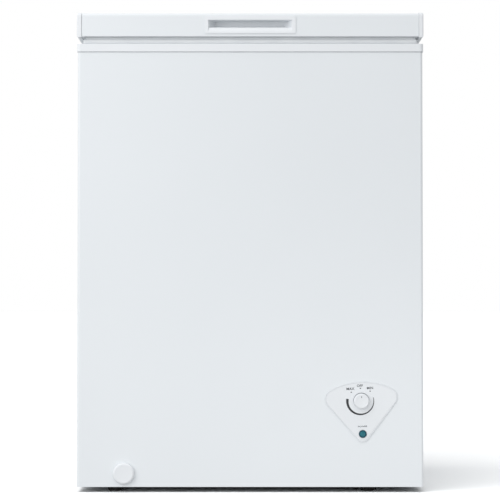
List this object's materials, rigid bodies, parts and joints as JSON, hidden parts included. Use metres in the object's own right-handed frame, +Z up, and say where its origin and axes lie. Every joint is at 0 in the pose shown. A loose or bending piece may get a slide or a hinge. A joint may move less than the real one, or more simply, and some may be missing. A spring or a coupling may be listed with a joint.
{
  "type": "chest freezer",
  "caption": "White top-opening chest freezer with a sprung lift-up lid, recessed lid handle, corner control dial with pilot lamp, drain plug and a sliding wire basket.",
  "frame": {"origin": "on the floor, under the middle of the overall box", "axes": "+Z up, the front with the handle and the dial faces -Y, +X to the right as seen from the front"},
  "size_m": [0.618, 0.56, 0.8535],
  "materials": {
    "white_enamel": "smooth semi-gloss enamel",
    "white_plastic": "satin moulded",
    "liner_sheet": "stucco embossed",
    "zinc_plate": "zinc plated",
    "black_enamel": "semi-gloss black",
    "black_plastic": "fine grain",
    "black_rubber": "matte",
    "seal_rubber": "soft matte",
    "copper_tube": "drawn copper",
    "insulation_foam": "rigid foam",
    "teal_lens": "clear tinted",
    "coated_wire": "plastic coated wire"
  },
  "bodies": {
    "cabinet": {"outer_wrap": "white_enamel", "back_panel": "white_enamel", "base_panel": "zinc_plate", "compressor_tray": "zinc_plate", "cabinet_insulation": "insulation_foam", "inner_liner": "liner_sheet", "top_collar": "white_plastic", "evaporator_coil": "copper_tube", "condenser_coil": "zinc_plate", "compressor_shell": "black_enamel", "compressor_legs": "black_enamel", "compressor_relay_cover": "black_plastic", "compressor_grommet_1": "black_rubber", "compressor_grommet_2": "black_rubber", "compressor_grommet_3": "black_rubber", "compressor_grommet_4": "black_rubber", "filter_drier": "copper_tube", "capillary_tube": "copper_tube", "suction_line": "copper_tube", "discharge_line": "copper_tube", "compressor_cover": "white_enamel", "cord_gland": "black_plastic", "drain_tube": "white_plastic", "drain_outlet": "white_plastic", "foot_front_left": "black_rubber", "foot_front_right": "black_rubber", "foot_rear_left": "black_rubber", "foot_rear_right": "black_rubber", "control_bezel": "white_plastic", "indicator_lens": "teal_lens", "indicator_lamp": "black_plastic", "thermostat_body": "zinc_plate", "thermostat_bulb_line": "copper_tube", "wiring_harness": "black_plastic", "hinge_base_left": "zinc_plate", "hinge_cover_left": "white_plastic", "hinge_spring_left": "zinc_plate", "hinge_base_right": "zinc_plate", "hinge_cover_right": "white_plastic", "hinge_spring_right": "zinc_plate"},
    "lid": {"lid_skin": "white_enamel", "lid_end_cap_left": "white_plastic", "lid_end_cap_right": "white_plastic", "lid_insulation": "insulation_foam", "lid_liner": "white_plastic", "lid_gasket": "seal_rubber", "handle_insert": "white_plastic", "hinge_arm_left": "zinc_plate", "hinge_pin_left": "zinc_plate", "hinge_arm_right": "zinc_plate", "hinge_pin_right": "zinc_plate"},
    "knob": {"control_knob": "white_plastic", "thermostat_spindle": "zinc_plate"},
    "basket": {"storage_basket": "coated_wire"},
    "outer_drain_cap": {"drain_cap": "white_plastic"},
    "inner_drain_plug": {"liner_drain_plug": "white_plastic"},
    "plunger_left": {"hinge_plunger_left": "black_plastic"},
    "plunger_right": {"hinge_plunger_right": "black_plastic"}
  },
  "joints": [
    {"name": "lid_hinge", "type": "hinge", "parent": "cabinet", "child": "lid", "pos_m": [0, 0.268, 0.8035], "axis": [-1, 0, 0], "range_deg": [0, 85]},
    {"name": "plunger_left_slide", "type": "slide", "parent": "cabinet", "child": "plunger_left", "axis": [0, 0, 1], "range_m": [0, 0.009], "deforming": ["hinge_spring_left"]},
    {"name": "plunger_right_slide", "type": "slide", "parent": "cabinet", "child": "plunger_right", "axis": [0, 0, 1], "range_m": [0, 0.009], "deforming": ["hinge_spring_right"]},
    {"name": "knob_turn", "type": "hinge", "parent": "cabinet", "child": "knob", "pos_m": [0.1973, 0, 0.1615], "axis": [0, 1, 0], "range_deg": [0, 315]},
    {"name": "basket_slide", "type": "slide", "parent": "cabinet", "child": "basket", "axis": [1, 0, 0], "range_m": [0, 0.288]},
    {"name": "drain_cap_pull", "type": "slide", "parent": "cabinet", "child": "outer_drain_cap", "axis": [0, -1, 0], "range_m": [0, 0.025]},
    {"name": "drain_plug_lift", "type": "slide", "parent": "cabinet", "child": "inner_drain_plug", "axis": [0, 0, 1], "range_m": [0, 0.025]}
  ],
  "couplings": [
    {"joint": "plunger_left_slide", "follows": "lid_hinge", "m_per_rad": 0.006},
    {"joint": "plunger_right_slide", "follows": "lid_hinge", "m_per_rad": 0.006}
  ]
}
